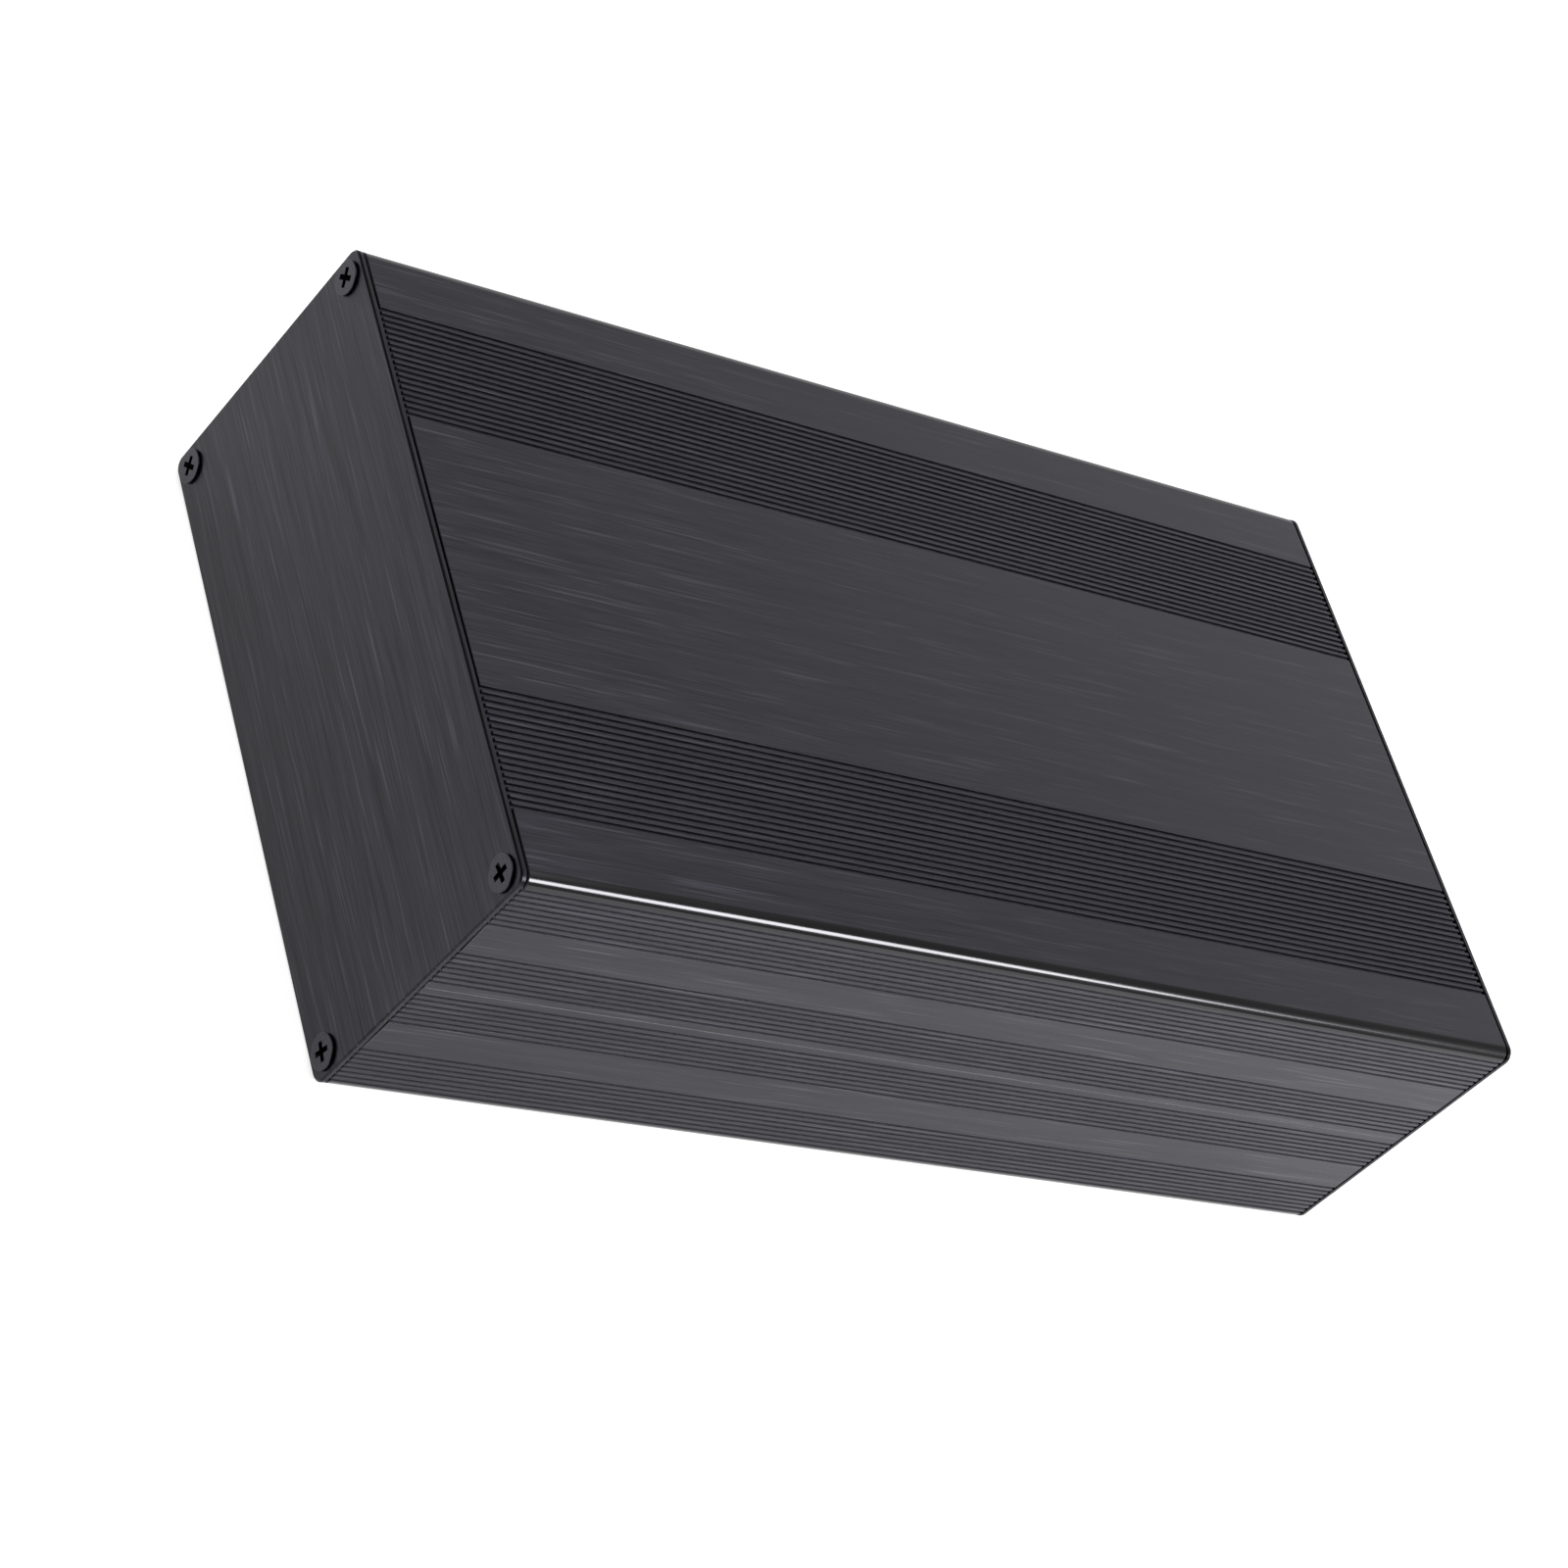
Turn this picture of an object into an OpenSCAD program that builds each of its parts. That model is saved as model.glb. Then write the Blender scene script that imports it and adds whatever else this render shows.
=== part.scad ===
// Split-type extruded aluminium enclosure: two interlocking half shells, two flat
// end panels and eight countersunk screws.
// X runs along the extrusion, Y across its wide faces, Z up. The origin is at the
// middle of the underside. All sizes are in millimetres.

/* [Case] */
// Width of the case across its wide faces
case_w = 145; // [125:1:200]
// Height of the two closed shells
case_h = 68.6; // [60:0.2:100]
// Length that the two shells are cut to
body_len = 252.5; // [80:0.5:400]
// Outer radius of the four long edges
edge_r = 2.7; // [2:0.1:2.8]
// Wall thickness of the wide faces
wide_wall = 2.2; // [1.6:0.1:3]
// Wall thickness of the narrow sides
side_wall = 2.4; // [1.8:0.1:3]

/* [Ribbed bands] */
// Distance between neighbouring grooves
groove_pitch = 1.5; // [1.2:0.05:1.6]
// Width of a groove in the wide faces
wide_groove_w = 0.85; // [0.4:0.05:0.9]
// Width of a groove in the narrow sides
side_groove_w = 0.65; // [0.4:0.05:0.8]
// Depth of a groove
groove_d = 0.8; // [0.4:0.05:0.9]
// Grooves in each band of a wide face
wide_grooves = 18; // [4:1:18]
// Distance from the centre line of a wide face to the first groove of a band
wide_band_start = 31.3; // [10:0.1:32]
// Grooves in each side band next to a long edge
edge_grooves = 8; // [2:1:8]
// Distance from the wide face to the first groove of that side band
edge_band_start = 3.05; // [3:0.05:6]
// Grooves in each side band next to the seam
seam_grooves = 7; // [2:1:7]
// Distance from the seam to the first groove of that side band
seam_band_start = 2.2; // [1.6:0.1:3]

/* [Seam] */
// Wall thickness of the rim along the seam
rim_wall = 4.4; // [4:0.1:6]
// Height of the rim above the seam
rim_h = 3.6; // [2.6:0.1:6]
// Thickness of the tongue on one side of each shell
tongue_w = 1.2; // [0.8:0.1:1.6]
// Height of the tongue
tongue_h = 1.8; // [1:0.1:2]
// Distance from the narrow side to the middle of the tongue
tongue_in = 2.4; // [2:0.1:2.6]
// Clearance between a tongue and its groove
tongue_gap = 0.15; // [0.05:0.05:0.25]
// Chamfer on the outer edge of the seam
seam_chamfer = 0.1; // [0.05:0.05:0.4]

/* [Board rails] */
// Number of board slots in each narrow side of a shell
slots = 2; // [1:1:2]
// Width of a board slot
slot_w = 1.8; // [1.2:0.1:2.4]
// Height of the first slot above the seam
slot_first = 9; // [8:0.1:10]
// Distance between the slots
slot_pitch = 7; // [5:0.1:8]
// Thickness of a rail
rail_t = 1.2; // [0.8:0.1:1.6]
// Distance that a rail stands in from the narrow side's wall
rail_d = 2; // [1:0.1:3]

/* [Screws] */
// Distance from the narrow side to a screw
screw_side = 4.5; // [4.2:0.1:6]
// Distance from the wide face to a screw
screw_top = 4.9; // [4.4:0.1:6]
// Diameter of the screw's shank
shank_d = 3.5; // [2.6:0.1:3.6]
// Length of the shank inside the shell
shank_len = 9; // [5:0.5:16]
// Diameter of the screw head
head_d = 7; // [6.2:0.1:7.4]
// Thickness of the head's rim
head_rim = 0.3; // [0.2:0.05:0.5]
// Height of the head above the panel
head_proud = 0.6; // [0.5:0.05:1.1]
// Span of the cross recess
recess_span = 4; // [3:0.1:4.6]
// Width of one arm of the cross recess
recess_arm = 1.1; // [0.5:0.05:1.2]
// Depth of the cross recess
recess_d = 1.5; // [0.8:0.1:1.8]
// Clearance between the shank and its channel
shank_gap = 0.05; // [0.02:0.01:0.15]
// Clearance between the head and its countersink
head_gap = 0.05; // [0.02:0.01:0.15]
// Clearance between the shank and its hole in the panel
hole_gap = 0.3; // [0.1:0.05:0.4]
// Wall of the round channel that holds a screw
channel_wall = 1.6; // [1.2:0.1:2]
// Width of the slot along the channel
channel_slot = 2; // [1:0.1:2.4]

/* [End panels] */
// Thickness of an end panel
panel_t = 1.2; // [1:0.1:3]
// Gap between a panel and the cut end of the shells
panel_gap = 0.4; // [0.05:0.05:0.4]
// Corner radius of a panel
panel_r = 2.6; // [2:0.1:4]
// Chamfer round the outer face of a panel
panel_chamfer = 0.35; // [0.1:0.05:0.6]

/* [Hidden] */
ENDS = ["front", "rear"];
CORNERS = [[-1, 1], [1, 1], [-1, -1], [1, -1]];
// Turn of each screw's recess, as the screws happened to stop
recess_turn = [45, 6, 40, 82, 70, 25, 52, 15];

$fn = 48;
cut = 1;
shell_h = case_h/2;
channel_r = shank_d/2 + shank_gap;
boss_r = channel_r + channel_wall;
screw_y = case_w/2 - screw_side;
screw_z = shell_h - screw_top;
// The head's cone narrows by its own height, at 45 degrees
cone_r = head_d/2 - (head_proud - head_rim);
cone_h = cone_r - shank_d/2;
panel_face = body_len/2 + panel_gap + panel_t;
hole_r = shank_d/2 + hole_gap;
shell_grey = [0.17, 0.17, 0.18];
panel_grey = [0.22, 0.22, 0.23];
screw_black = [0.09, 0.09, 0.1];

// ---- Shell profile, drawn in the YZ plane with the seam at height 0 ----

module both_sides() {
    for (side = [0, 1]) mirror([side, 0]) children();
}

// What a rounded long edge takes off the square corner
module corner_waste() {
    translate([case_w/2 - edge_r, shell_h - edge_r]) difference() {
        square(edge_r + cut);
        circle(edge_r);
    }
}

module outline() {
    difference() {
        translate([-case_w/2, 0]) square([case_w, shell_h]);
        both_sides() corner_waste();
    }
}

module cavity() {
    inner_w = case_w - 2*side_wall;
    translate([-inner_w/2, -cut]) square([inner_w, shell_h - wide_wall + cut]);
}

// Thicker wall along the seam, with a sloping shoulder above it
module seam_rim() {
    inner = case_w/2 - rim_wall;
    wall = case_w/2 - side_wall;
    polygon([[inner, 0], [wall + cut, 0], [wall + cut, rim_h + rim_wall - side_wall],
             [wall, rim_h + rim_wall - side_wall], [inner, rim_h]]);
}

module board_rails() {
    wall = case_w/2 - side_wall;
    for (i = [0:slots - 1])
        for (above = [-1, 1])
            translate([wall - rail_d, slot_first + i*slot_pitch + above*(slot_w + rail_t)/2 - rail_t/2])
                square([rail_d + cut, rail_t]);
}

// Wall round the screw channel, filled out to the corner of the case
module screw_boss() {
    translate([screw_y, screw_z]) {
        circle(boss_r);
        square([screw_side - side_wall/2, screw_top - wide_wall/2]);
    }
}

// Round channel, open towards the middle of the case
module screw_channel() {
    translate([screw_y, screw_z]) {
        circle(channel_r);
        rotate(225) translate([0, -channel_slot/2]) square([boss_r + cut, channel_slot]);
    }
}

// Groove with a round bottom, cut downwards from height 0
module groove(width) {
    translate([0, width/2 - groove_d]) circle(width/2);
    translate([-width/2, width/2 - groove_d]) square([width, groove_d]);
}

module side_groove(height) {
    translate([case_w/2, height]) rotate(-90) groove(side_groove_w);
}

module grooves() {
    for (i = [0:wide_grooves - 1])
        translate([wide_band_start + i*groove_pitch, shell_h]) groove(wide_groove_w);
    for (i = [0:edge_grooves - 1])
        side_groove(shell_h - edge_band_start - i*groove_pitch);
    for (i = [0:seam_grooves - 1])
        side_groove(seam_band_start + i*groove_pitch);
}

module seam_bevel() {
    polygon([[case_w/2 + cut, -cut], [case_w/2 + cut, seam_chamfer + cut],
             [case_w/2 - seam_chamfer - cut, -cut]]);
}

module tongue() {
    translate([case_w/2 - tongue_in - tongue_w/2, -tongue_h]) square([tongue_w, tongue_h + cut]);
}

module tongue_slot() {
    slot = tongue_w + 2*tongue_gap;
    translate([tongue_in - case_w/2 - slot/2, -cut]) square([slot, tongue_h + tongue_gap + cut]);
}

module shell_profile() {
    difference() {
        union() {
            difference() {
                outline();
                cavity();
            }
            both_sides() {
                seam_rim();
                board_rails();
                screw_boss();
            }
        }
        both_sides() {
            screw_channel();
            grooves();
            seam_bevel();
        }
        tongue_slot();
    }
    tongue();
}

// Both shells are cut from the same extrusion, and the lower one is turned over
module shell() {
    translate([-body_len/2, 0, 0])
        rotate([90, 0, 90]) linear_extrude(body_len) shell_profile();
}

module upper_shell() {
    color(shell_grey) translate([0, 0, shell_h]) shell();
}

module lower_shell() {
    color(shell_grey) translate([0, 0, shell_h]) rotate([180, 0, 0]) shell();
}

// ---- End panels and screws, drawn with their outer face up, at height 0 ----

// Stands a piece on the rear or the front end of the case, its top facing outwards
module at_end(end) {
    rotate([0, 0, end == "rear" ? 0 : 180])
        translate([panel_face, 0, shell_h]) rotate([90, 0, 90]) children();
}

// Bar whose long upper edges are chamfered, centred on X and Y
module chamfered_bar(length, width) {
    rotate([90, 0, 90]) translate([0, 0, -length/2]) linear_extrude(length)
        polygon([[-width/2, -panel_t], [width/2, -panel_t], [width/2, -panel_chamfer],
                 [width/2 - panel_chamfer, 0], [panel_chamfer - width/2, 0],
                 [-width/2, -panel_chamfer]]);
}

module panel_corner() {
    translate([0, 0, -panel_t]) cylinder(h = panel_t - panel_chamfer, r = panel_r);
    translate([0, 0, -panel_chamfer])
        cylinder(h = panel_chamfer, r1 = panel_r, r2 = panel_r - panel_chamfer);
}

module panel_blank() {
    chamfered_bar(case_w - 2*panel_r, case_h);
    rotate(90) chamfered_bar(case_h - 2*panel_r, case_w);
    for (c = CORNERS)
        translate([c[0]*(case_w/2 - panel_r), c[1]*(shell_h - panel_r), 0]) panel_corner();
}

module countersunk_hole() {
    top_r = cone_r + head_gap;
    translate([0, 0, -panel_t - cut]) cylinder(h = panel_t + 2*cut, r = hole_r);
    translate([0, 0, hole_r - top_r]) cylinder(h = top_r - hole_r, r1 = hole_r, r2 = top_r);
    cylinder(h = cut, r = top_r);
}

module end_panel() {
    difference() {
        panel_blank();
        for (c = CORNERS) translate([c[0]*screw_y, c[1]*screw_z, 0]) countersunk_hole();
    }
}

module front_panel() {
    color(panel_grey) at_end("front") end_panel();
}

module rear_panel() {
    color(panel_grey) at_end("rear") end_panel();
}

module screw_body() {
    tip = shank_d/4;
    shank_end = -panel_t - panel_gap - shank_len;
    rotate_extrude()
        polygon([[0, head_proud], [head_d/2, head_proud], [head_d/2, head_proud - head_rim],
                 [cone_r, 0], [shank_d/2, -cone_h], [shank_d/2, shank_end + tip],
                 [shank_d/2 - tip, shank_end], [0, shank_end]]);
}

// Cross with tapering arms
module cross_recess() {
    top_r = recess_span/2;
    intersection() {
        translate([0, 0, head_proud - recess_d])
            cylinder(h = recess_d + cut, r1 = top_r/2, r2 = top_r*(1 + cut/recess_d/2));
        for (turn = [0, 90])
            rotate(turn) translate([-top_r - cut, -recess_arm/2, -cut])
                cube([2*top_r + 2*cut, recess_arm, head_proud + 2*cut]);
    }
}

module screw(turn) {
    difference() {
        screw_body();
        rotate(turn) cross_recess();
    }
}

module end_screw(end, i) {
    corner = CORNERS[i];
    turn = recess_turn[end == "front" ? i : i + len(CORNERS)];
    color(screw_black) at_end(end)
        translate([corner[0]*screw_y, corner[1]*screw_z, 0]) screw(turn);
}

upper_shell();
lower_shell();
front_panel();
rear_panel();
for (end = ENDS) for (i = [0:len(CORNERS) - 1])
    end_screw(end, i);
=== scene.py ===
"""The looks of a split-type extruded aluminium enclosure: two black anodised half shells with ribbed
bands, two brushed end panels and eight countersunk screws.

Names that end in _MM, and the outlines drawn from them, are in millimetres. All else is in metres.
"""

import math

import bmesh
import bpy
from mathutils import Matrix, Vector


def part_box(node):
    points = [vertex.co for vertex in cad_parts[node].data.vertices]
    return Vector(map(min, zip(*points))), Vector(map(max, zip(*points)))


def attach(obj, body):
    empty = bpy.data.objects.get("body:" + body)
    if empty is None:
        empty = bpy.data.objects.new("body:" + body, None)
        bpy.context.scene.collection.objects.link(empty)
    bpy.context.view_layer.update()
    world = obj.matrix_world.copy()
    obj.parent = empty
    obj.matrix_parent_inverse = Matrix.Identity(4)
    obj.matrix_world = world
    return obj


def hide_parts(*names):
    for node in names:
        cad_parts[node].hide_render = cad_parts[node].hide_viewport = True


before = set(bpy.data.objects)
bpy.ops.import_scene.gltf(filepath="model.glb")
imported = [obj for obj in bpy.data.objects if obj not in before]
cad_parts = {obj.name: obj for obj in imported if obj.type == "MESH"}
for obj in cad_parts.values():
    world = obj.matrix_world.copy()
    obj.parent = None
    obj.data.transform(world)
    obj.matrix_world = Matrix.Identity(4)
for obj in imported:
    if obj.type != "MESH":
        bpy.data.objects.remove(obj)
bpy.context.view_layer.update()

MM = 0.001

# ---- Sizes of the case, in millimetres, as the solids have them ----

ENDS = ("front", "rear")
# Side across and side up of each corner of an end, in the order of its screws
CORNERS = ((-1, 1), (1, 1), (-1, -1), (1, -1))
# The axis that a piece is brushed along
ALONG_X, ALONG_Y = 0, 1

shell_low, shell_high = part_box("upper_shell")
panel_low, panel_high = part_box("front_panel")
CASE_W_MM = (shell_high[1] - shell_low[1]) / MM
CASE_H_MM = (panel_high[2] - panel_low[2]) / MM
BODY_L_MM = (shell_high[0] - shell_low[0]) / MM
PANEL_T_MM = (panel_high[0] - panel_low[0]) / MM
PANEL_FACE_MM = -panel_low[0] / MM
SHELL_H_MM = CASE_H_MM / 2

EDGE_R_MM = 2.7
WIDE_WALL_MM = 2.2
SIDE_WALL_MM = 2.4

GROOVE_PITCH_MM = 1.5
WIDE_GROOVE_W_MM = 0.85
SIDE_GROOVE_W_MM = 0.65
GROOVE_D_MM = 0.8
WIDE_GROOVES = 18
WIDE_BAND_START_MM = 31.3
EDGE_GROOVES = 8
EDGE_BAND_START_MM = 3.05
SEAM_GROOVES = 7
SEAM_BAND_START_MM = 2.2

RIM_WALL_MM = 4.4
RIM_H_MM = 3.6
TONGUE_W_MM = 1.2
TONGUE_H_MM = 1.8
TONGUE_IN_MM = 2.4
TONGUE_GAP_MM = 0.15
SEAM_CHAMFER_MM = 0.1

SLOTS = 2
SLOT_W_MM = 1.8
SLOT_FIRST_MM = 9
SLOT_PITCH_MM = 7
RAIL_T_MM = 1.2
RAIL_D_MM = 2

SCREW_SIDE_MM = 4.5
SCREW_TOP_MM = 4.9
SHANK_D_MM = 3.5
HEAD_D_MM = 7
HEAD_RIM_MM = 0.3
HEAD_PROUD_MM = 0.6
RECESS_SPAN_MM = 4
RECESS_ARM_MM = 1.1
RECESS_D_MM = 1.5
SHANK_GAP_MM = 0.05
HEAD_GAP_MM = 0.05
HOLE_GAP_MM = 0.3
CHANNEL_R_MM = SHANK_D_MM / 2 + SHANK_GAP_MM
CHANNEL_WALL_MM = 1.6
CHANNEL_SLOT_MM = 2
# Direction in degrees of a channel's slot, towards the middle of the case
SLOT_AT = 225
# Turn in degrees of each recess, the front screws first
RECESS_TURN = (45, 6, 40, 82, 70, 25, 52, 15)

PANEL_R_MM = 2.6
PANEL_CHAMFER_MM = 0.35
SCREW_Y_MM = CASE_W_MM / 2 - SCREW_SIDE_MM
SCREW_Z_MM = SHELL_H_MM - SCREW_TOP_MM
CONE_R_MM = HEAD_D_MM / 2 - (HEAD_PROUD_MM - HEAD_RIM_MM)
HOLE_R_MM = SHANK_D_MM / 2 + HOLE_GAP_MM

# Roundings and broken edges that the solids leave out
RIB_ROUND_MM = 0.02
END_BREAK_MM = 0.2
PANEL_BREAK_MM = 0.1
PANEL_BEVEL_MM = 0.08
RIM_ROUND_MM = 0.12

# Least rise from the last side groove to the first point of a long edge's arc
ARC_RISE_MM = 0.08
# Places nearer than this count as one
CLOSE_MM = 0.01
# How far the recess cutter starts above the head
CUTTER_ABOVE_MM = 0.3


# ---- Camera, light and floor ----

CAMERA_AT = Vector((-0.52305, -0.43153, 0.50826))
CAMERA_AIM = Vector((-0.01176, 0.00139, 0.02315))
CAMERA_ROLL = math.radians(46.44)
CAMERA_LENS = 93.28

# Height on the unit sphere, and how light the studio's walls are there
WALL_LEVELS = ((0.0, 0.4), (0.28, 0.72), (0.42, 1.0), (0.52, 0.62), (0.62, 0.27),
               (0.82, 0.2), (0.88, 0.08), (1.0, 0.06))
WALL_STRENGTH = 1.7
# Share of the walls' light that is left at the dim sides of the studio, towards -X and -Y, and
# where on the unit sphere each side goes from dim to full
DIM_WALL = 0.3
DIM_X = (-0.5, 0.3)
DIM_Y = (-0.9, -0.3)

# The floor glows like a light table, and lies just under the case
FLOOR_GLOW = 0.77
FLOOR_GREY = 0.55
FLOOR_HALF = 4
FLOOR_DROP = 0.0002

# Each light's name, direction from the place it faces, distance, size and power
LIGHT_AIM = Vector((0, 0, 0.03))
LIGHTS = (("edge softbox", (0.8, -0.98, 0.8), 1.5, (0.56, 0.42), 15),
          ("overhead", (0, 0.1, 1), 1.4, (1.6, 1.6), 18))


def make_camera():
    camera = bpy.data.objects.new("camera", bpy.data.cameras.new("camera"))
    bpy.context.scene.collection.objects.link(camera)
    camera.data.lens = CAMERA_LENS
    camera.data.clip_start = 0.01
    camera.location = CAMERA_AT
    look = (CAMERA_AIM - CAMERA_AT).to_track_quat("-Z", "Y").to_matrix()
    camera.rotation_euler = (look @ Matrix.Rotation(CAMERA_ROLL, 3, "Z")).to_euler()
    bpy.context.scene.camera = camera


def make_light(name, direction, distance, size, power):
    """A soft rectangular light that faces LIGHT_AIM from a direction and a distance."""
    data = bpy.data.lights.new(name, "AREA")
    data.shape = "RECTANGLE"
    data.size, data.size_y = size
    data.energy = power
    light = bpy.data.objects.new(name, data)
    bpy.context.scene.collection.objects.link(light)
    way = Vector(direction).normalized()
    light.location = LIGHT_AIM + way * distance
    light.rotation_euler = (-way).to_track_quat("-Z", "Y").to_euler()


def make_world():
    """Walls that are lightest part way up, dark at the ceiling and dim on two sides."""
    world = bpy.data.worlds.new("studio")
    bpy.context.scene.world = world
    world.use_nodes = True
    background = world.node_tree.nodes["Background"]
    g = Graph(world)
    place = g.add("ShaderNodeTexCoord")
    split = g.add("ShaderNodeSeparateXYZ")
    g.link(place.outputs["Generated"], split.inputs["Vector"])
    steps = [(height, (level, level, level)) for height, level in WALL_LEVELS]
    g.link(g.ramp(split.outputs["Z"], steps), background.inputs["Color"])
    ahead = g.spread(split.outputs["X"], *DIM_X, DIM_WALL, 1)
    aside = g.spread(split.outputs["Y"], *DIM_Y, DIM_WALL, 1)
    level = g.math("MULTIPLY", ahead, aside)
    g.link(g.math("MULTIPLY", level, WALL_STRENGTH), background.inputs["Strength"])


def make_floor():
    bm = bmesh.new()
    bmesh.ops.create_grid(bm, x_segments=1, y_segments=1, size=FLOOR_HALF)
    floor = new_piece("floor", bm)
    floor.location.z = -FLOOR_DROP
    mat, shader = new_material("pale_floor")
    shader.inputs["Base Color"].default_value = (FLOOR_GREY, FLOOR_GREY, FLOOR_GREY, 1)
    shader.inputs["Emission Color"].default_value = (1, 1, 1, 1)
    shader.inputs["Emission Strength"].default_value = FLOOR_GLOW
    shader.inputs["Roughness"].default_value = 0.9
    shader.inputs["Specular IOR Level"].default_value = 0.1
    floor.data.materials.append(mat)


# ---- Materials ----

def new_material(name):
    mat = bpy.data.materials.new(name)
    mat.use_nodes = True
    return mat, mat.node_tree.nodes["Principled BSDF"]


class Graph:
    """Short calls for building a material's nodes."""

    def __init__(self, mat):
        self.nodes = mat.node_tree.nodes
        self.links = mat.node_tree.links

    def add(self, kind, **settings):
        node = self.nodes.new(kind)
        for key, value in settings.items():
            setattr(node, key, value)
        return node

    def link(self, source, target):
        self.links.new(source, target)

    def noise(self, scale, stretch, detail, roughness=0.5):
        """Noise in object space, drawn out along the axes whose stretch is small."""
        place = self.add("ShaderNodeTexCoord")
        mapping = self.add("ShaderNodeMapping")
        mapping.inputs["Scale"].default_value = stretch
        noise = self.add("ShaderNodeTexNoise")
        noise.inputs["Scale"].default_value = scale
        noise.inputs["Detail"].default_value = detail
        noise.inputs["Roughness"].default_value = roughness
        self.link(place.outputs["Object"], mapping.inputs["Vector"])
        self.link(mapping.outputs["Vector"], noise.inputs["Vector"])
        return noise.outputs["Fac"]

    def spread(self, value, low, high, out_low, out_high):
        """Maps a range of a value onto another range."""
        node = self.add("ShaderNodeMapRange")
        node.inputs["From Min"].default_value = low
        node.inputs["From Max"].default_value = high
        node.inputs["To Min"].default_value = out_low
        node.inputs["To Max"].default_value = out_high
        self.link(value, node.inputs["Value"])
        return node.outputs["Result"]

    def math(self, operation, first, second):
        node = self.add("ShaderNodeMath", operation=operation)
        for socket, value in zip(node.inputs, (first, second)):
            if isinstance(value, (int, float)):
                socket.default_value = value
            else:
                self.link(value, socket)
        return node.outputs["Value"]

    def ramp(self, value, colours):
        node = self.add("ShaderNodeValToRGB")
        ramp = node.color_ramp
        while len(ramp.elements) < len(colours):
            ramp.elements.new(0.5)
        for element, (place, colour) in zip(ramp.elements, colours):
            element.position = place
            element.color = (*colour, 1)
        self.link(value, node.inputs["Fac"])
        return node.outputs["Color"]

    def calmed(self, value, share):
        """Pulls a value towards 0.5, to a share of its contrast."""
        contrast = self.math("MULTIPLY", self.math("SUBTRACT", value, 0.5), share)
        return self.math("ADD", contrast, 0.5)

    def along_case(self):
        split = self.add("ShaderNodeSeparateXYZ")
        self.link(self.add("ShaderNodeTexCoord").outputs["Object"], split.inputs["Vector"])
        return split.outputs["X"]

    def bump(self, height, distance):
        node = self.add("ShaderNodeBump")
        node.inputs["Distance"].default_value = distance
        self.link(height, node.inputs["Height"])
        return node.outputs["Normal"]


# Black anodising has a faint violet cast
TINT = (1.04, 1.0, 1.24)
# Share of that cast on the drawn long edges, and how much their streaks vary
EDGE_TINT = 0.2
EDGE_STREAKS = 0.1

# Brushed lines: how many to a metre across them, and their length
FINE_LINES = (3600, 0.020)
BROAD_LINES = (500, 0.06)
MARK_LINES = (1700, 0.022)
# Only the strongest of the last kind show, as light marks
MARKS_SHOW = (0.58, 0.78)
# Scale of the cloudy patches under the lines
PATCH_SCALE = 14
# What each layer adds to the tone
FINE_SHARE = 0.5
BROAD_SHARE = 0.35
PATCH_SHARE = 0.15
# The stretch of the case over which the brushing's contrast falls
CALMED_X = (-0.11, -0.01)
# Depth of the brushed lines and of the screws' grain
BRUSHED_DEPTH = 0.000006
STEEL_DEPTH = 0.000003


def tinted(level, share=1.0):
    """A grey of this level, with a share of the dye's tint."""
    return tuple(level * (1 + share * (part - 1)) for part in TINT)


def brushed_anodised(name, along, dark, light, roughness, marked, rear=1.0):
    """Black anodised aluminium, brushed along ALONG_X or ALONG_Y.

    Marked is the strength of the light marks. Rear is the contrast that the brushing keeps behind
    the middle of the case.
    """
    mat, shader = new_material(name)
    g = Graph(mat)

    def lines(per_metre, length):
        stretch = [per_metre] * 3
        stretch[along] = 1 / length
        return stretch

    fine = g.noise(1, lines(*FINE_LINES), 2, 0.6)
    broad = g.noise(1, lines(*BROAD_LINES), 2, 0.6)
    marks = g.spread(g.noise(1, lines(*MARK_LINES), 1), *MARKS_SHOW, 0, 1)
    patches = g.noise(PATCH_SCALE, (1, 1, 1), 2)
    grain = g.math("ADD", g.math("MULTIPLY", fine, FINE_SHARE), g.math("MULTIPLY", broad, BROAD_SHARE))
    tone = g.math("ADD", grain, g.math("MULTIPLY", patches, PATCH_SHARE))
    tone = g.math("ADD", tone, g.math("MULTIPLY", marks, marked))
    tone = g.calmed(tone, g.spread(g.along_case(), *CALMED_X, 1, rear))
    lightest = 2 * light - dark
    colour = g.ramp(tone, ((0.3, tinted(dark)), (0.7, tinted(light)), (1.0, tinted(lightest))))
    g.link(colour, shader.inputs["Base Color"])
    g.link(g.spread(fine, 0.3, 0.7, roughness - 0.04, roughness + 0.06), shader.inputs["Roughness"])
    g.link(g.bump(grain, BRUSHED_DEPTH), shader.inputs["Normal"])
    shader.inputs["Metallic"].default_value = 1
    shader.inputs["Anisotropic"].default_value = 0.4
    tangent = g.add("ShaderNodeTangent", direction_type="UV_MAP", uv_map="UVMap")
    g.link(tangent.outputs["Tangent"], shader.inputs["Tangent"])
    return mat


def plain_anodised(name, dark, light, roughness, metallic):
    """The same black where it isn't brushed."""
    mat, shader = new_material(name)
    g = Graph(mat)
    grain = g.noise(1800, (0.3, 1, 1), 3)
    g.link(g.ramp(grain, ((0.3, tinted(dark)), (0.7, tinted(light)))), shader.inputs["Base Color"])
    g.link(g.spread(grain, 0.3, 0.7, roughness - 0.03, roughness + 0.05), shader.inputs["Roughness"])
    shader.inputs["Metallic"].default_value = metallic
    return mat


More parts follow.
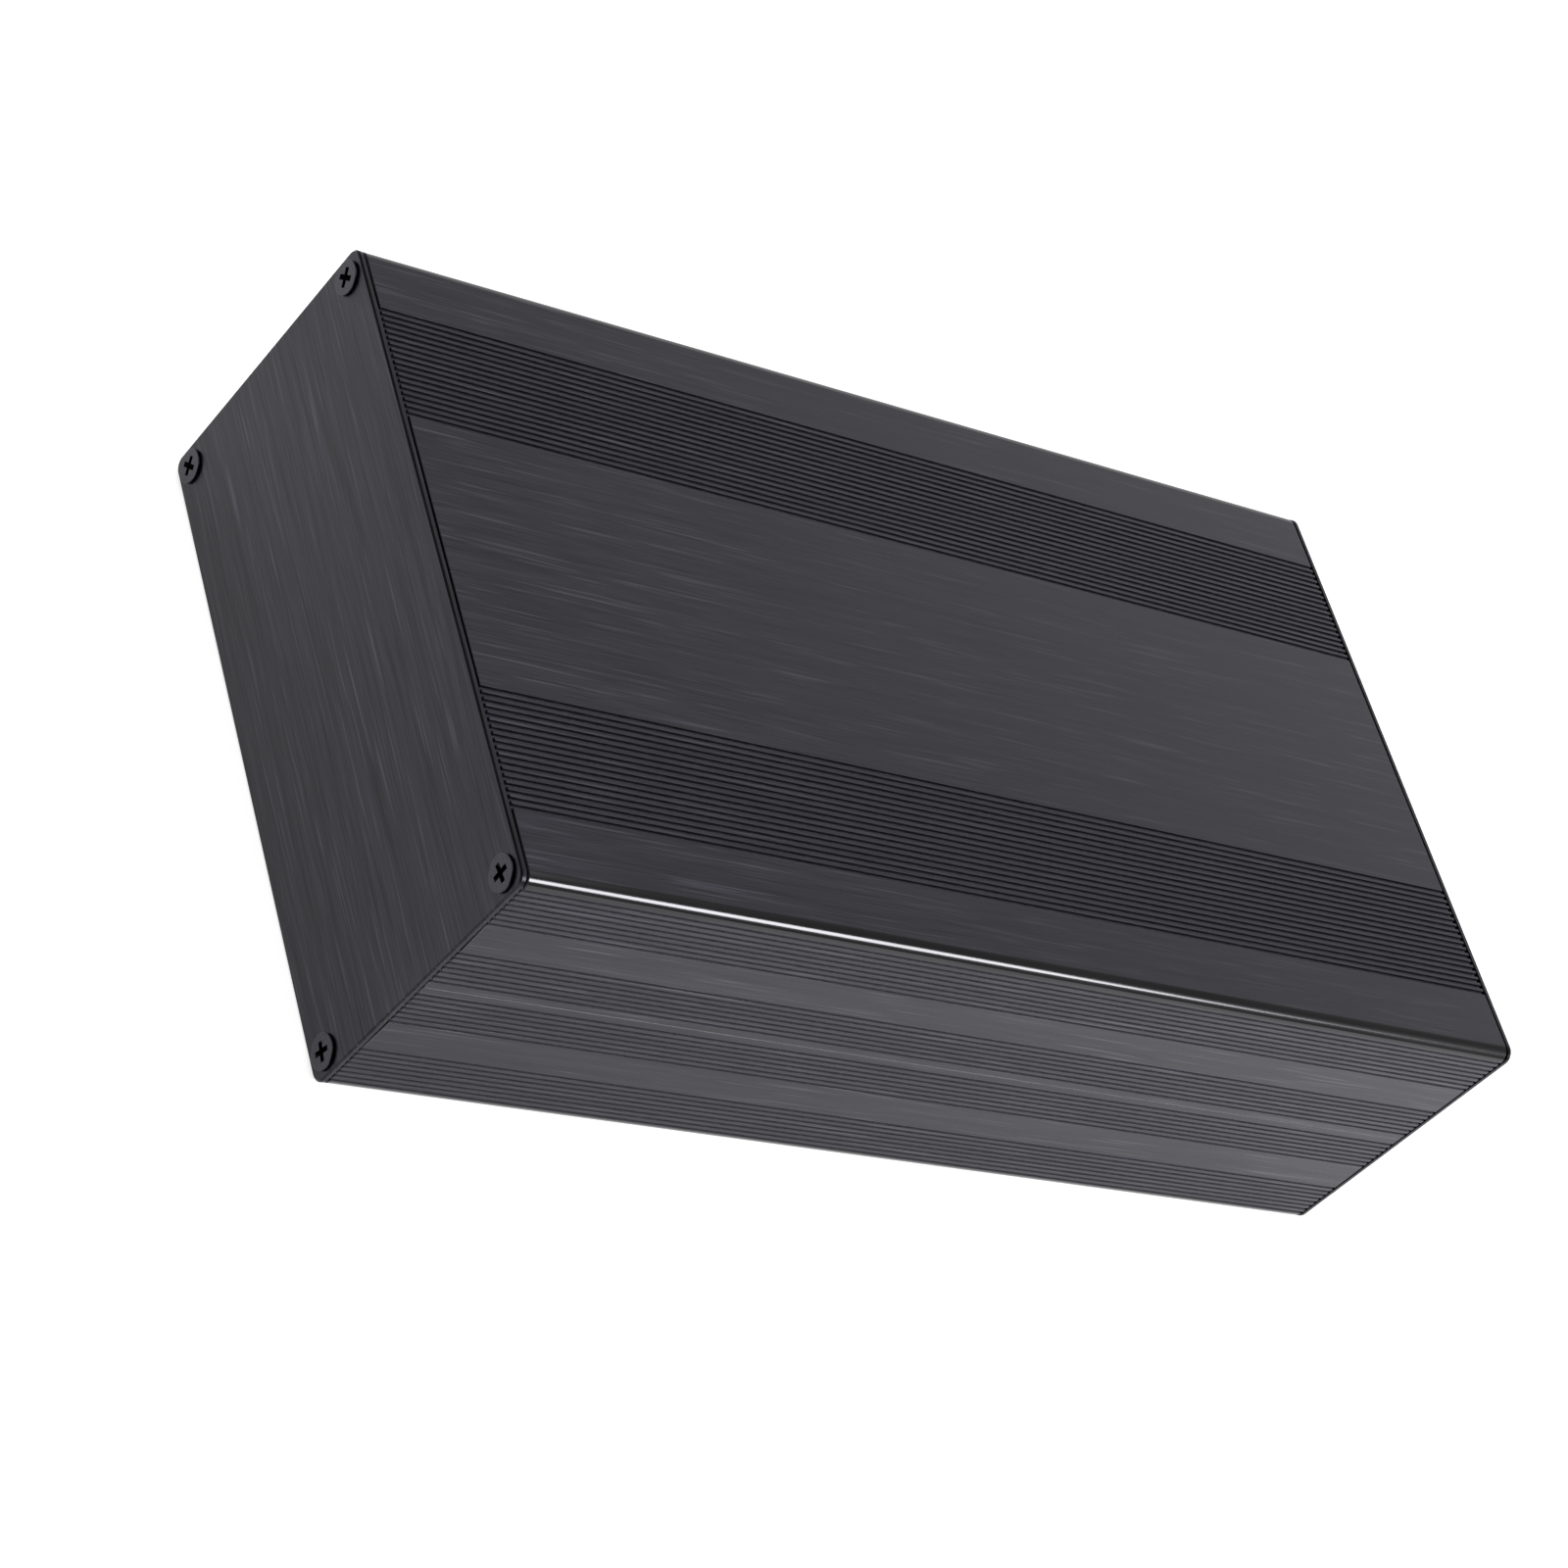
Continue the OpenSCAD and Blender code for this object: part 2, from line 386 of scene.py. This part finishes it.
def polished_edge(name, grey, roughness):
    """The drawn long edges, which are smoother than the faces and have little of their tint."""
    mat, shader = new_material(name)
    g = Graph(mat)
    streaks = g.noise(900, (0.04, 1, 1), 2)
    dark = tinted(grey * (1 - EDGE_STREAKS), EDGE_TINT)
    light = tinted(grey * (1 + EDGE_STREAKS), EDGE_TINT)
    g.link(g.ramp(streaks, ((0.3, dark), (0.7, light))), shader.inputs["Base Color"])
    shader.inputs["Roughness"].default_value = roughness
    shader.inputs["Metallic"].default_value = 1
    return mat


def screw_steel(name, dark, light):
    mat, shader = new_material(name)
    g = Graph(mat)
    grain = g.noise(2500, (1, 1, 1), 3)
    g.link(g.ramp(grain, ((0.3, tinted(dark)), (0.7, tinted(light)))), shader.inputs["Base Color"])
    g.link(g.spread(grain, 0.3, 0.7, 0.25, 0.33), shader.inputs["Roughness"])
    g.link(g.bump(grain, STEEL_DEPTH), shader.inputs["Normal"])
    shader.inputs["Metallic"].default_value = 1
    return mat


# ---- Mesh helpers ----

SHARP = math.radians(35)
BEVEL_ABOVE = math.radians(30)
# A corner of an outline moves inwards by at most the inset divided by this
MITRE_LIMIT = 0.5


def new_piece(name, bm):
    bmesh.ops.recalc_face_normals(bm, faces=bm.faces)
    mesh = bpy.data.meshes.new(name)
    bm.to_mesh(mesh)
    bm.free()
    piece = bpy.data.objects.new(name, mesh)
    bpy.context.scene.collection.objects.link(piece)
    return piece


def smooth(piece):
    """Smooth shading, with sharp edges where faces meet at more than the angle SHARP."""
    piece.data.shade_smooth()
    piece.data.set_sharp_from_angle(angle=SHARP)
    weighted = piece.modifiers.new("flat faces", "WEIGHTED_NORMAL")
    weighted.keep_sharp = True


def lay_uv(piece, along):
    """UVs in metres, with U along one axis, to give the brushing its direction."""
    layer = piece.data.uv_layers.new(name="UVMap")
    across = 1 - along
    for loop in piece.data.loops:
        at = piece.data.vertices[loop.vertex_index].co
        layer.data[loop.index].uv = (at[along], at[across] + at.z)


def stands_for(piece, node, slot, *mats):
    for mat in mats:
        piece.data.materials.append(mat)
    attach(piece, "root")
    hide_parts(node)


def arc(centre, radius, start, end, steps):
    """Points on an arc, both ends included; angles in degrees."""
    points = []
    for k in range(steps + 1):
        angle = math.radians(start + (end - start) * k / steps)
        points.append((centre[0] + radius * math.cos(angle), centre[1] + radius * math.sin(angle)))
    return points


def ring_of(bm, path, height):
    """New vertices along a closed path, at one height."""
    return [bm.verts.new((y * MM, z * MM, height * MM)) for y, z in path]


def join_rings(bm, first, second):
    for k in range(len(first)):
        n = (k + 1) % len(first)
        bm.faces.new((first[k], first[n], second[n], second[k]))


def fill(bm, rings):
    """Fills the flat face that the rings enclose."""
    edges = []
    for ring in rings:
        for k in range(len(ring)):
            edges.append(bm.edges.get((ring[k], ring[(k + 1) % len(ring)])))
    bmesh.ops.triangle_fill(bm, edges=edges, use_beauty=True)


def apply_modifiers(piece):
    bpy.context.view_layer.update()
    evaluated = piece.evaluated_get(bpy.context.evaluated_depsgraph_get())
    mesh = bpy.data.meshes.new_from_object(evaluated)
    piece.modifiers.clear()
    piece.data = mesh


# ---- Shells ----

def groove_points(at, along, inward, width):
    """A groove with a round bottom between two rounded ribs, walked in the direction along."""
    half = width / 2
    floor = GROOVE_D_MM - half
    path = []
    for t, d in arc((-half - RIB_ROUND_MM, -RIB_ROUND_MM), RIB_ROUND_MM, 90, 0, 4):
        path.append((t, -d))
    for t, d in arc((0, -floor), half, 180, 360, 8):
        path.append((t, -d))
    for t, d in arc((half + RIB_ROUND_MM, -RIB_ROUND_MM), RIB_ROUND_MM, 180, 90, 4):
        path.append((t, -d))
    return [(at[0] + along[0] * t + inward[0] * d, at[1] + along[1] * t + inward[1] * d) for t, d in path]


def outer_half():
    """The +Y half of a shell's outside, from the seam up and over to the middle of the wide face."""
    side = CASE_W_MM / 2
    path = [(side - SEAM_CHAMFER_MM, 0), (side, SEAM_CHAMFER_MM)]
    for i in range(SEAM_GROOVES):
        at = (side, SEAM_BAND_START_MM + i * GROOVE_PITCH_MM)
        path += groove_points(at, (0, 1), (-1, 0), SIDE_GROOVE_W_MM)
    for i in reversed(range(EDGE_GROOVES)):
        at = (side, SHELL_H_MM - EDGE_BAND_START_MM - i * GROOVE_PITCH_MM)
        path += groove_points(at, (0, 1), (-1, 0), SIDE_GROOVE_W_MM)
    last_height = path[-1][1]
    edge = arc((side - EDGE_R_MM, SHELL_H_MM - EDGE_R_MM), EDGE_R_MM, 0, 90, 24)
    path += [point for point in edge if point[1] > last_height + ARC_RISE_MM]
    for i in reversed(range(WIDE_GROOVES)):
        at = (WIDE_BAND_START_MM + i * GROOVE_PITCH_MM, SHELL_H_MM)
        path += groove_points(at, (-1, 0), (0, -1), WIDE_GROOVE_W_MM)
    return path


def inner_half():
    """The +Y half of a shell's inside, from the middle of the wide face out and down to the rim."""
    wall = CASE_W_MM / 2 - SIDE_WALL_MM
    ceiling = SHELL_H_MM - WIDE_WALL_MM
    boss_r = CHANNEL_R_MM + CHANNEL_WALL_MM
    half_slot = CHANNEL_SLOT_MM / 2
    screw = (SCREW_Y_MM, SCREW_Z_MM)
    meets_ceiling = math.degrees(math.asin((ceiling - SCREW_Z_MM) / boss_r))
    meets_wall = math.degrees(math.acos((wall - SCREW_Y_MM) / boss_r))
    lip = math.degrees(math.asin(half_slot / boss_r))
    mouth = math.degrees(math.asin(half_slot / CHANNEL_R_MM))
    path = arc(screw, boss_r, 180 - meets_ceiling, SLOT_AT - lip, 14)
    path += arc(screw, CHANNEL_R_MM, SLOT_AT - mouth, SLOT_AT + mouth - 360, 36)
    path += arc(screw, boss_r, SLOT_AT + lip, 360 - meets_wall, 12)
    for i in reversed(range(SLOTS)):
        for above in (1, -1):
            middle = SLOT_FIRST_MM + i * SLOT_PITCH_MM + above * (SLOT_W_MM + RAIL_T_MM) / 2
            top, bottom = middle + RAIL_T_MM / 2, middle - RAIL_T_MM / 2
            path += [(wall, top), (wall - RAIL_D_MM, top), (wall - RAIL_D_MM, bottom), (wall, bottom)]
    rim = CASE_W_MM / 2 - RIM_WALL_MM
    return path + [(wall, RIM_H_MM + RIM_WALL_MM - SIDE_WALL_MM), (rim, RIM_H_MM), (rim, 0)]


def mirrored(path):
    return [(-y, z) for y, z in reversed(path)]


def shell_outline():
    """The whole profile of a shell, anticlockwise, with its seam at height 0."""
    tongue_y = CASE_W_MM / 2 - TONGUE_IN_MM
    tongue = [(tongue_y - TONGUE_W_MM / 2, 0), (tongue_y - TONGUE_W_MM / 2, -TONGUE_H_MM),
              (tongue_y + TONGUE_W_MM / 2, -TONGUE_H_MM), (tongue_y + TONGUE_W_MM / 2, 0)]
    half_slot = TONGUE_W_MM / 2 + TONGUE_GAP_MM
    slot_top = TONGUE_H_MM + TONGUE_GAP_MM
    slot = [(-tongue_y - half_slot, 0), (-tongue_y - half_slot, slot_top),
            (-tongue_y + half_slot, slot_top), (-tongue_y + half_slot, 0)]
    outside, inside = outer_half(), inner_half()
    return outside + mirrored(outside) + slot + mirrored(inside) + inside + tongue


def shrunk(path, inset):
    """The outline moved inwards by a small distance."""
    moved = []
    count = len(path)
    for k in range(count):
        before, here, after = (Vector(path[(k + step) % count]) for step in (-1, 0, 1))
        normals = []
        for start, end in ((before, here), (here, after)):
            way = (end - start).normalized()
            normals.append(Vector((-way.y, way.x)))
        mean = (normals[0] + normals[1]).normalized()
        reach = inset / max(mean.dot(normals[0]), MITRE_LIMIT)
        moved.append(tuple(here + mean * reach))
    return moved


# The shells' materials; the last is for the narrow sides' grooves, painted lighter as fill light from the
# floor
WIDE, NARROW, EDGE, DEEP, SIDE_GROOVES_PAINTED_FILL = range(5)


def mark_finishes(bm):
    """Gives each face of a shell its material, by where it lies."""
    for face in bm.faces:
        at = face.calc_center_median() / MM
        out = abs(at.y) - (CASE_W_MM / 2 - EDGE_R_MM)
        up = at.z - (SHELL_H_MM - EDGE_R_MM)
        on_side = abs(abs(at.y) - CASE_W_MM / 2) < CLOSE_MM
        on_wide = abs(at.z - SHELL_H_MM) < CLOSE_MM
        on_edge = out > 0 and up > 0 and abs(math.hypot(out, up) - EDGE_R_MM) < CLOSE_MM
        if on_wide:
            face.material_index = WIDE
        elif on_side:
            face.material_index = NARROW
        elif on_edge:
            face.material_index = EDGE
        # Faces in the side walls below the long edges, mostly the side grooves, get the lighter bare
        # finish: painted fill light that stands in for the floor's light in them
        elif abs(at.y) > CASE_W_MM / 2 - SIDE_WALL_MM / 2 and up < 0:
            face.material_index = SIDE_GROOVES_PAINTED_FILL
        else:
            face.material_index = DEEP


def shell_piece(name, node, turned, mats):
    """A shell, cut square at both ends with its edges lightly broken."""
    outline = shell_outline()
    broken = shrunk(outline, END_BREAK_MM)
    half = BODY_L_MM / 2
    full = half - END_BREAK_MM
    rings = []
    bm = bmesh.new()
    for x, path in ((-half, broken), (-full, outline), (full, outline), (half, broken)):
        rings.append([bm.verts.new((x * MM, y * MM, z * MM)) for y, z in path])
    for first, second in zip(rings, rings[1:]):
        join_rings(bm, first, second)
    fill(bm, [rings[0]])
    fill(bm, [rings[-1]])
    mark_finishes(bm)
    if turned:
        bm.transform(Matrix.Rotation(math.pi, 4, "X"))
    bm.transform(Matrix.Translation((0, 0, SHELL_H_MM * MM)))
    piece = new_piece(name, bm)
    lay_uv(piece, ALONG_X)
    smooth(piece)
    stands_for(piece, node, "shell", *mats)


# ---- End panels ----

def at_end(end):
    """Places a piece drawn with its outer face up, at height 0, on an end of the case."""
    facing = Matrix(((0, 0, 1), (1, 0, 0), (0, 1, 0))).to_4x4()
    turn = Matrix.Rotation(0 if end == "rear" else math.pi, 4, "Z")
    return turn @ Matrix.Translation((PANEL_FACE_MM * MM, 0, SHELL_H_MM * MM)) @ facing


def rounded_rectangle(width, height, radius):
    path = []
    for corner, (sy, sz) in enumerate(((1, 1), (-1, 1), (-1, -1), (1, -1))):
        centre = (sy * (width / 2 - radius), sz * (height / 2 - radius))
        path += arc(centre, radius, corner * 90, corner * 90 + 90, 10)
    return path


def panel_piece(name, node, end, mat):
    bm = bmesh.new()
    back, front = -PANEL_T_MM, 0

    def outline(inset, height):
        path = rounded_rectangle(CASE_W_MM - 2 * inset, CASE_H_MM - 2 * inset, PANEL_R_MM - inset)
        return ring_of(bm, path, height)

    rings = [outline(PANEL_BREAK_MM, back), outline(0, back + PANEL_BREAK_MM),
             outline(0, front - PANEL_CHAMFER_MM), outline(PANEL_CHAMFER_MM, front)]
    for first, second in zip(rings, rings[1:]):
        join_rings(bm, first, second)
    top_r = CONE_R_MM + HEAD_GAP_MM
    hole_backs, hole_fronts = [], []
    for sy, sz in CORNERS:
        centre = (sy * SCREW_Y_MM, sz * SCREW_Z_MM)
        sizes = ((HOLE_R_MM, back), (HOLE_R_MM, HOLE_R_MM - top_r), (top_r, front))
        circles = [ring_of(bm, arc(centre, radius, 0, 360, 48)[:-1], height) for radius, height in sizes]
        for first, second in zip(circles, circles[1:]):
            join_rings(bm, first, second)
        hole_backs.append(circles[0])
        hole_fronts.append(circles[-1])
    fill(bm, [rings[0]] + hole_backs)
    fill(bm, [rings[-1]] + hole_fronts)
    bm.transform(at_end(end))
    piece = new_piece(name, bm)
    lay_uv(piece, ALONG_Y)
    bevel = piece.modifiers.new("soft edges", "BEVEL")
    bevel.width = PANEL_BEVEL_MM * MM
    bevel.segments = 2
    bevel.limit_method = "ANGLE"
    bevel.angle_limit = BEVEL_ABOVE
    smooth(piece)
    stands_for(piece, node, "panel", mat)


# ---- Screws ----

def screw_piece(name, node, end, corner, turn, mats):
    """A countersunk screw with a cross recess."""
    bm = bmesh.new()
    tip = SHANK_D_MM / 4
    low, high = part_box(node)
    shank_end = HEAD_PROUD_MM - (high[0] - low[0]) / MM
    profile = [(SHANK_D_MM / 2 - tip, shank_end), (SHANK_D_MM / 2, shank_end + tip),
               (SHANK_D_MM / 2, -(CONE_R_MM - SHANK_D_MM / 2)), (CONE_R_MM, 0),
               (HEAD_D_MM / 2, HEAD_PROUD_MM - HEAD_RIM_MM)]
    rim = (HEAD_D_MM / 2 - RIM_ROUND_MM, HEAD_PROUD_MM - RIM_ROUND_MM)
    profile += arc(rim, RIM_ROUND_MM, 0, 90, 4)
    rings = [ring_of(bm, arc((0, 0), radius, 0, 360, 64)[:-1], height) for radius, height in profile]
    for first, second in zip(rings, rings[1:]):
        join_rings(bm, first, second)
    bm.faces.new(rings[0])
    bm.faces.new(rings[-1])
    piece = new_piece(name, bm)
    cut_recess(piece, turn)
    mark_recess(piece)
    sy, sz = CORNERS[corner]
    place = Matrix.Translation((sy * SCREW_Y_MM * MM, sz * SCREW_Z_MM * MM, 0))
    piece.data.transform(at_end(end) @ place)
    smooth(piece)
    stands_for(piece, node, "screw", *mats)


def cut_recess(piece, turn):
    """Cuts a cross whose arms taper towards the bottom."""
    bm = bmesh.new()
    top, bottom = HEAD_PROUD_MM + CUTTER_ABOVE_MM, HEAD_PROUD_MM - RECESS_D_MM
    reach_low = RECESS_SPAN_MM / 4
    reach_high = RECESS_SPAN_MM / 2 * (1 + CUTTER_ABOVE_MM / RECESS_D_MM / 2)
    half = RECESS_ARM_MM / 2

    def cross(reach, height):
        path = []
        arm = [(reach, -half), (reach, half), (half, half)]
        for _ in range(4):
            path += arm
            arm = [(-y, x) for x, y in arm]
        return ring_of(bm, path, height)

    low, high = cross(reach_low, bottom), cross(reach_high, top)
    join_rings(bm, low, high)
    bm.faces.new(low)
    bm.faces.new(high)
    bm.transform(Matrix.Rotation(math.radians(turn), 4, "Z"))
    cutter = new_piece("recess_cutter", bm)
    boolean = piece.modifiers.new("recess", "BOOLEAN")
    boolean.object = cutter
    boolean.solver = "EXACT"
    apply_modifiers(piece)
    bpy.data.objects.remove(cutter)


def mark_recess(piece):
    """Gives the inside of the cross recess the second material, a near-black steel that is painted shade.
    """
    top, bottom = HEAD_PROUD_MM * MM, (HEAD_PROUD_MM - RECESS_D_MM) * MM
    for face in piece.data.polygons:
        near_axis = math.hypot(face.center.x, face.center.y) < RECESS_SPAN_MM / 2 * MM
        inside = near_axis and bottom - CLOSE_MM * MM < face.center.z < top - CLOSE_MM * MM
        face.material_index = 1 if inside else 0


# ---- The scene ----

make_camera()
make_world()
make_floor()
for light in LIGHTS:
    make_light(*light)

wide_black = brushed_anodised("brushed_wide_face", ALONG_X, dark=0.020, light=0.040, roughness=0.30,
                              marked=0.6, rear=0.55)
narrow_black = brushed_anodised("brushed_narrow_side", ALONG_X, dark=0.018, light=0.045, roughness=0.30,
                                marked=0.5)
edge_black = polished_edge("smooth_shell_edge", grey=0.045, roughness=0.15)
deep_black = plain_anodised("bare_shell_grooves", dark=0.029, light=0.043, roughness=0.5, metallic=1)
# The side grooves: the same bare black, painted lighter and diffuse as fill light that the floor throws
# into them
side_grooves_painted_fill = plain_anodised("bare_side_grooves_painted_fill", dark=0.046, light=0.07, roughness=0.5, metallic=0)
shell_blacks = (wide_black, narrow_black, edge_black, deep_black, side_grooves_painted_fill)
# The panels' brushed black is darker than the shells': partly their own finish, partly painted shade for
# the dim floor and walls that the front panel reflects
panel_black_painted_shade = brushed_anodised("brushed_panel_painted_shade", ALONG_Y, dark=0.007, light=0.034, roughness=0.30,
                               marked=0.3)
# The second screw material is painted shade: near-black steel for the inside of the cross recesses
screw_blacks = (screw_steel("black_screw_steel", dark=0.028, light=0.042),
                screw_steel("screw_recess_painted_shade", dark=0.004, light=0.01))

shell_piece("upper_shell_extrusion", "upper_shell", False, shell_blacks)
shell_piece("lower_shell_extrusion", "lower_shell", True, shell_blacks)
for end in ENDS:
    panel_piece(f"{end}_end_panel", f"{end}_panel", end, panel_black_painted_shade)
    for i in range(len(CORNERS)):
        turn = RECESS_TURN[i if end == "front" else i + len(CORNERS)]
        screw_piece(f"{end}_cross_screw_{i + 1}", f"{end}_screw_{i + 1}", end, i, turn, screw_blacks)

bpy.context.scene.view_settings.view_transform = "Standard"
